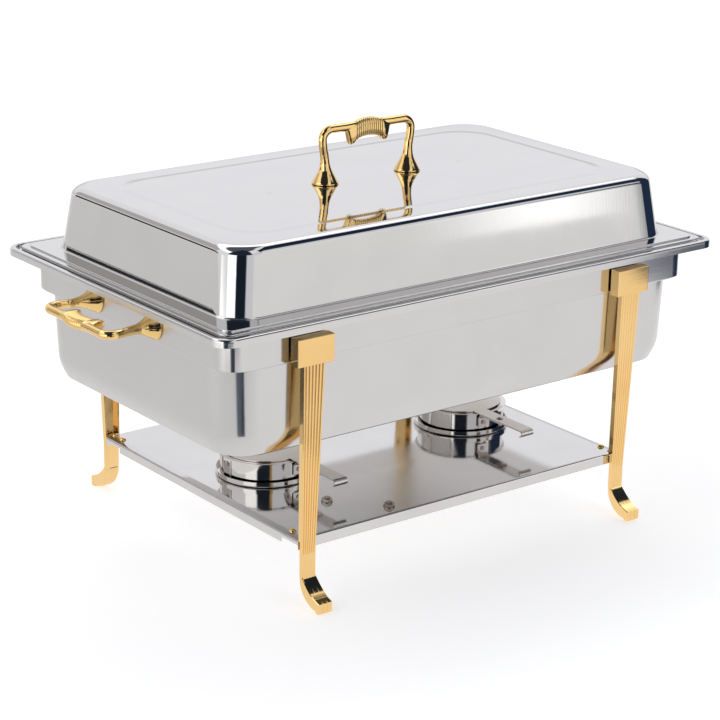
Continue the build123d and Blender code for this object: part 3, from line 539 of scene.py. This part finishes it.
def handle_lump():
    """The handle casting standing on Z = 0 with its grip along X, still as separate overlapping lumps."""
    points, faces = [], []

    def take(more_points, more_faces):
        base = len(points)
        points.extend(more_points)
        faces.extend(tuple(base + i for i in face) for face in more_faces)

    bell = [(12.35, 0.02), (12.35, 1.5), (11.7, 2.0), (11.3, 2.6), (9.9, 5.0), (8.6, 7.5), (7.2, 10.0),
            (6.0, 12.7), (5.0, 15.8), (4.4, 19.0), (4.05, 23.0), (3.9, 28.0), (3.0, 31.0)]
    for side in (-1, 1):
        rings = []
        for radius, z in bell:
            lean = side * 1.6 * max(0, z - 12) / 20
            rings.append([
                (
                    side * FEET + lean + radius * math.cos(math.radians(10 * i)),
                    radius * math.sin(math.radians(10 * i)),
                    z,
                )
                for i in range(36)
            ])
        take(*loft(rings))
        path = [(FEET + 0.6, 19), (FEET + 1.6, 27), (FEET + 2.9, 35), (FEET + 3.3, 40)]
        for step in range(1, 9):
            turn = math.radians(90 * step / 8)
            path.append((FEET + 3.3 - 9 * (1 - math.cos(turn)), 40 + 9 * math.sin(turn)))
        path += [(32, 48.9), (26, 48.8), (20, 49), (12, 49.5)]
        rings = []
        for i, (x, z) in enumerate(path):
            before, after = path[max(i - 1, 0)], path[min(i + 1, len(path) - 1)]
            along = Vector((after[0] - before[0], after[1] - before[1])).normalized()
            rings.append([
                (
                    side * (x + along.y * ARM_RADIUS * math.cos(math.radians(15 * k))),
                    ARM_RADIUS * math.sin(math.radians(15 * k)),
                    z - along.x * ARM_RADIUS * math.cos(math.radians(15 * k)),
                )
                for k in range(24)
            ])
        take(*loft(rings))

    half_grip = [  # X, top, bottom, half width
        (0, 55.7, 38.6, 5.0), (6, 55.3, 38.1, 5.0), (11, 54.1, 37.0, 5.0), (14.5, 52.9, 35.2, 4.9),
        (17, 52.2, 32.8, 4.8), (19, 51.8, 32.0, 4.6), (20.6, 51.6, 32.6, 4.3), (21.8, 51.4, 35.5, 4.0),
        (22.8, 51.0, 40.0, 3.6), (24, 50.4, 44.5, 3.0),
    ]
    stations = [(-x, t, b, w) for x, t, b, w in half_grip[:0:-1]] + half_grip
    rings = []
    for x, high, low, half in stations:
        ring = []
        for k in range(40):
            turn = math.radians(9 * k)
            c, s = math.cos(turn), math.sin(turn)
            ring.append((
                x,
                half * math.copysign(abs(c) ** 0.7, c),
                (high + low) / 2 + (high - low) / 2 * math.copysign(abs(s) ** 0.7, s),
            ))
        rings.append(ring)
    take(*loft(rings))
    return points, faces


def handle_mesh():
    """One closed casting: the lumps melted together, smoothed, and ribbed along the grip."""
    points, faces = handle_lump()
    mesh = bpy.data.meshes.new("handle_lumps")
    mesh.from_pydata([tuple(c * MM for c in p) for p in points], [], faces)
    work = bmesh.new()
    work.from_mesh(mesh)
    bmesh.ops.recalc_face_normals(work, faces=work.faces)
    work.to_mesh(mesh)
    work.free()
    lump = bpy.data.objects.new("handle_lumps", mesh)
    bpy.context.scene.collection.objects.link(lump)
    melt = lump.modifiers.new("melt", "REMESH")
    melt.mode = "VOXEL"
    melt.voxel_size = VOXEL * MM
    smooth = lump.modifiers.new("smooth", "SMOOTH")
    smooth.factor = 0.5
    smooth.iterations = 8
    done = bpy.data.meshes.new_from_object(lump.evaluated_get(bpy.context.evaluated_depsgraph_get()))
    bpy.data.objects.remove(lump)
    bpy.data.meshes.remove(mesh)
    moves = []
    for vertex in done.vertices:
        x, _, z = vertex.co / MM
        if z < 30 or abs(x) > RIBBED_HALF:
            continue
        fade = min(1.0, (RIBBED_HALF - abs(x)) / 1.2)
        depth = RIB_DEPTH * fade * (0.5 + 0.5 * math.cos(2 * math.pi * x / RIB_PITCH))
        moves.append((vertex, vertex.normal * (-depth * MM)))
    for vertex, move in moves:
        vertex.co += move
    return done


casting = handle_mesh()
for name, body, turn in (
    ("lid_handle", "lid", Matrix.Identity(4)),
    ("side_handle_left", "water_pan", Matrix(((0, 0, -1, 0), (1, 0, 0, 0), (0, 1, 0, 0), (0, 0, 0, 1)))),
    ("side_handle_right", "water_pan", Matrix(((0, 0, 1, 0), (1, 0, 0, 0), (0, 1, 0, 0), (0, 0, 0, 1)))),
):
    low, high = corners(name)
    mesh = casting.copy()
    mesh.transform(turn)
    middle = (low + high) / 2
    if name == "lid_handle":
        middle.z = low.z
    else:
        middle.x = high.x if name.endswith("left") else low.x
    mesh.transform(Matrix.Translation(middle * MM))
    mesh.shade_smooth()
    piece = bpy.data.objects.new(f"{name}_casting", mesh)
    bpy.context.scene.collection.objects.link(piece)
    finish_piece(piece, gold_cast, body, [name])

# ------------------------------------------------------------------ shelf
shelf_low, shelf_high = corners("shelf")
SHELF_X, SHELF_Y = shelf_high.x, shelf_high.y
SHELF_TOP = shelf_high.z
NOTCH_START = SHELF_Y - 24


def shelf_ring(half_x, half_y, z, notch=0.0):
    """One ring around the shelf; at the end sides its outer parts can be raised by a notch."""
    ring = []
    for sx, sy in ((1, -1), (1, 1), (-1, 1), (-1, -1)):
        corner = [
            (half_x - 0.5, half_y, 0), (half_x - 0.15, half_y - 0.15, notch), (half_x, half_y - 0.5, notch),
            (half_x, NOTCH_START + 0.05, notch), (half_x, NOTCH_START - 0.05, 0),
        ]
        if sx == sy:
            corner.reverse()
        ring += [(sx * x, sy * y, z + lift) for x, y, lift in corner]
    return ring


points, faces = loft([
    shelf_ring(SHELF_X - 12, SHELF_Y - 12, SHELF_TOP - 0.8),
    shelf_ring(SHELF_X - 6.5, SHELF_Y - 2.2, SHELF_TOP - 0.8),
    shelf_ring(SHELF_X - 0.9, SHELF_Y - 0.8, SHELF_TOP - 2.4),
    shelf_ring(SHELF_X - 0.8, SHELF_Y - 0.8, shelf_low.z, 4.8),
    shelf_ring(SHELF_X, SHELF_Y, shelf_low.z, 4.8),
    shelf_ring(SHELF_X, SHELF_Y, SHELF_TOP - 2.6),
    shelf_ring(SHELF_X - 0.5, SHELF_Y, SHELF_TOP - 1.5),
    shelf_ring(SHELF_X - 1.4, SHELF_Y - 0.15, SHELF_TOP - 0.8),
    shelf_ring(SHELF_X - 5.6, SHELF_Y - 0.7, SHELF_TOP - 0.35),
    shelf_ring(SHELF_X - 6.2, SHELF_Y - 1.3, SHELF_TOP - 0.03),
    shelf_ring(SHELF_X - 7.2, SHELF_Y - 2.4, SHELF_TOP),
    shelf_ring(SHELF_X - 12, SHELF_Y - 12, SHELF_TOP),
])
build("shelf_sheet", points, faces, shelf_steel, "frame", ["shelf"], sharp=50)

# ------------------------------------------------------------------ what stays as CAD, with materials
CAD_MATERIALS = {
    "leg_cap": gold,
    "lid_handle_screws": bright_steel, "lid_handle_washers": bright_steel,
    "side_handle_screws": bright_steel, "side_handle_washers": bright_steel,
    "shelf_nuts": bright_steel, "shelf_studs": nut_steel, "shelf_screws": gold_cast,
    "stud_nuts": nut_steel,
    "fuel_rivets": bright_steel, "fuel": cup_steel,
    "damper_pin": bright_steel, "damper": strap_steel,
}
for name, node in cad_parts.items():
    best = max((key for key in CAD_MATERIALS if name.startswith(key)), key=len, default=None)
    if best:
        node.data.materials.clear()
        node.data.materials.append(CAD_MATERIALS[best])


# ------------------------------------------------------------------ studio
def studio():
    """World light by direction: pale backdrop, a bright strip above it, a dark room round the camera."""
    world = bpy.data.worlds.new("studio")
    bpy.context.scene.world = world
    world.use_nodes = True
    nodes, links = world.node_tree.nodes, world.node_tree.links
    place = nodes.new("ShaderNodeTexCoord")
    parts = nodes.new("ShaderNodeSeparateXYZ")
    links.new(place.outputs["Generated"], parts.inputs["Vector"])

    def math_node(kind, a, b=None, c=None):
        node = nodes.new("ShaderNodeMath")
        node.operation = kind
        for socket, value in zip(node.inputs, (a, b, c)):
            if isinstance(value, (int, float)):
                socket.default_value = value
            elif value is not None:
                links.new(value, socket)
        return node.outputs["Value"]

    azimuth = math_node("ARCTAN2", parts.outputs["Y"], parts.outputs["X"])
    elevation = math_node("ARCSINE", parts.outputs["Z"])

    def ramp(value, low, high):
        node = nodes.new("ShaderNodeMapRange")
        node.interpolation_type = "SMOOTHSTEP"
        links.new(value, node.inputs["Value"])
        node.inputs["From Min"].default_value = low
        node.inputs["From Max"].default_value = high
        return node.outputs["Result"]

    def card(middle, half, bottom, top, soft=5):
        """Mask of a card: azimuth middle and half width, elevation range, all in degrees."""
        m, h, b, t, s = (math.radians(v) for v in (middle, half, bottom, top, soft))
        away = math_node("ABSOLUTE", math_node("WRAP", math_node("SUBTRACT", azimuth, m), math.pi, -math.pi))
        sides = math_node("SUBTRACT", 1.0, ramp(away, h - s / 2, h + s / 2))
        lower = ramp(elevation, b - s / 2, b + s / 2)
        upper = math_node("SUBTRACT", 1.0, ramp(elevation, t - s / 2, t + s / 2))
        return math_node("MULTIPLY", sides, math_node("MULTIPLY", lower, upper))

    backdrop = (1.01, 1.01, 1.05)
    night = (0.012, 0.018, 0.035)
    navy = (0.012, 0.02, 0.045)
    softbox = (1.7, 1.7, 1.7)
    bright = (1.8, 1.8, 1.8)
    colour = None
    for mask, tint in (
        # Below the horizon: pale all round, bright to the camera's left, dark behind the camera.
        (card(180, 180, -90, 0, 4), (0.94, 0.93, 0.93)),
        (card(187, 28, -90, 0, 5), bright),
        (card(243, 29, -90, 0, 4), night),
        # On the backdrop: a dark bar low down at the left, and greyer stretches.
        (card(131, 14, 0.5, 10, 3), (0.03, 0.03, 0.035)),
        (card(52, 56, 2, 11, 4), (0.74, 0.73, 0.75)),
        (card(120, 16, 14, 40, 8), (0.55, 0.53, 0.52)),
        # Round the camera: a softbox at its left, the dark room behind it, paler at its right.
        (card(201, 17, 0, 24, 4), softbox),
        (card(234, 20, 0, 28, 4), (0.012, 0.018, 0.03)),
        (card(-84, 28, 0, 42, 6), (0.80, 0.80, 0.84)),
        (card(-62, 26, -90, 14, 5), (0.96, 0.95, 0.93)),
        # At the right of the object: dark, with a narrow softbox and a paler gap.
        (card(-36, 26, 30, 58, 5), navy),
        (card(-17, 27, 20, 44, 6), navy),
        (card(-49, 1.6, -14, 12, 4), softbox),
        (card(-18, 28, -90, 44, 4), (0.02, 0.035, 0.075)),
        (card(-48.5, 10.5, 22, 34, 4), (0.85, 0.84, 0.84)),
        # Overhead: a bright strip above the backdrop, then darkness, also above and under the camera.
        (card(95, 92, 44, 90, 6), bright),
        (card(95, 92, 60, 90, 6), (0.10, 0.11, 0.14)),
        (card(0, 180, 72, 90, 6), (0.10, 0.11, 0.14)),
        (card(224, 44, 26, 90, 5), (0.02, 0.028, 0.045)),
        (card(223, 12, -90, -19, 3), (0.11, 0.13, 0.17)),
    ):
        blend = nodes.new("ShaderNodeMix")
        blend.data_type = "RGBA"
        links.new(mask, blend.inputs["Factor"])
        if colour:
            links.new(colour, blend.inputs["A"])
        else:
            blend.inputs["A"].default_value = (*backdrop, 1)
        blend.inputs["B"].default_value = (*tint, 1)
        colour = blend.outputs["Result"]
    seen = nodes.new("ShaderNodeLightPath")
    final = nodes.new("ShaderNodeMix")
    final.data_type = "RGBA"
    links.new(seen.outputs["Is Camera Ray"], final.inputs["Factor"])
    links.new(colour, final.inputs["A"])
    final.inputs["B"].default_value = (1.05, 1.05, 1.05, 1)
    links.new(final.outputs["Result"], nodes["Background"].inputs["Color"])


studio()

# The table's outline: how far it reaches, in metres, towards each direction in degrees.
FLOOR_REACH = {
    -47: 5, -43: 1.05, -10: 0.9, 8: 1.0, 16: 5, 60: 6, 110: 6, 158: 5, 166: 1.2, 200: 1.1,
    216: 1.05, 218: 0.56, 229: 0.56, 231: 1.06, 255: 1.06, 258: 1.3, 263: 5,
}
FLOOR_LEVEL = -0.3 * MM
DARK_PATCH = (0.925, -0.69, 0)
PATCH_RADIUS = 0.165
PATCH_SOFTNESS = 0.02


def floor_paper():
    """White paper; what shines back from it in the metal is a lit table with a dark patch at its right."""
    material, nodes, links = node_material("floor_paper")
    paper = nodes["Principled BSDF"]
    paper.inputs["Base Color"].default_value = (0.85, 0.85, 0.85, 1)
    paper.inputs["Roughness"].default_value = 0.9
    paper.inputs["Emission Color"].default_value = (1, 1, 1, 1)
    paper.inputs["Emission Strength"].default_value = 0.55
    table = nodes.new("ShaderNodeEmission")
    place = nodes.new("ShaderNodeTexCoord")
    parts = nodes.new("ShaderNodeSeparateXYZ")
    links.new(place.outputs["Object"], parts.inputs["Vector"])
    tone = nodes.new("ShaderNodeMapRange")
    tone.inputs["From Min"].default_value = -0.5
    tone.inputs["From Max"].default_value = -0.15
    tone.inputs["To Min"].default_value = 0.80
    tone.inputs["To Max"].default_value = 0.96
    links.new(parts.outputs["X"], tone.inputs["Value"])
    links.new(tone.outputs["Result"], table.inputs["Strength"])

    away = nodes.new("ShaderNodeVectorMath")
    away.operation = "DISTANCE"
    away.inputs[1].default_value = DARK_PATCH
    links.new(place.outputs["Object"], away.inputs[0])
    near = nodes.new("ShaderNodeMapRange")
    near.inputs["From Min"].default_value = PATCH_RADIUS + PATCH_SOFTNESS / 2
    near.inputs["From Max"].default_value = PATCH_RADIUS - PATCH_SOFTNESS / 2
    links.new(away.outputs["Value"], near.inputs["Value"])
    tint = nodes.new("ShaderNodeMix")
    tint.data_type = "RGBA"
    tint.inputs["A"].default_value = (1.0, 0.985, 0.98, 1)
    tint.inputs["B"].default_value = (0.04, 0.09, 0.19, 1)
    links.new(near.outputs["Result"], tint.inputs["Factor"])
    links.new(tint.outputs["Result"], table.inputs["Color"])

    direct = nodes.new("ShaderNodeLightPath")
    choice = nodes.new("ShaderNodeMixShader")
    links.new(direct.outputs["Is Camera Ray"], choice.inputs["Fac"])
    links.new(table.outputs["Emission"], choice.inputs[1])
    links.new(paper.outputs["BSDF"], choice.inputs[2])
    links.new(choice.outputs["Shader"], nodes["Material Output"].inputs["Surface"])
    return material


rim = []
for degrees, reach in sorted(FLOOR_REACH.items()):
    turn = math.radians(degrees)
    rim.append((reach * math.cos(turn), reach * math.sin(turn), FLOOR_LEVEL))
floor_mesh = bpy.data.meshes.new("floor")
floor_mesh.from_pydata(rim, [], [tuple(range(len(rim)))])
floor_mesh.materials.append(floor_paper())
floor = bpy.data.objects.new("floor", floor_mesh)
bpy.context.scene.collection.objects.link(floor)
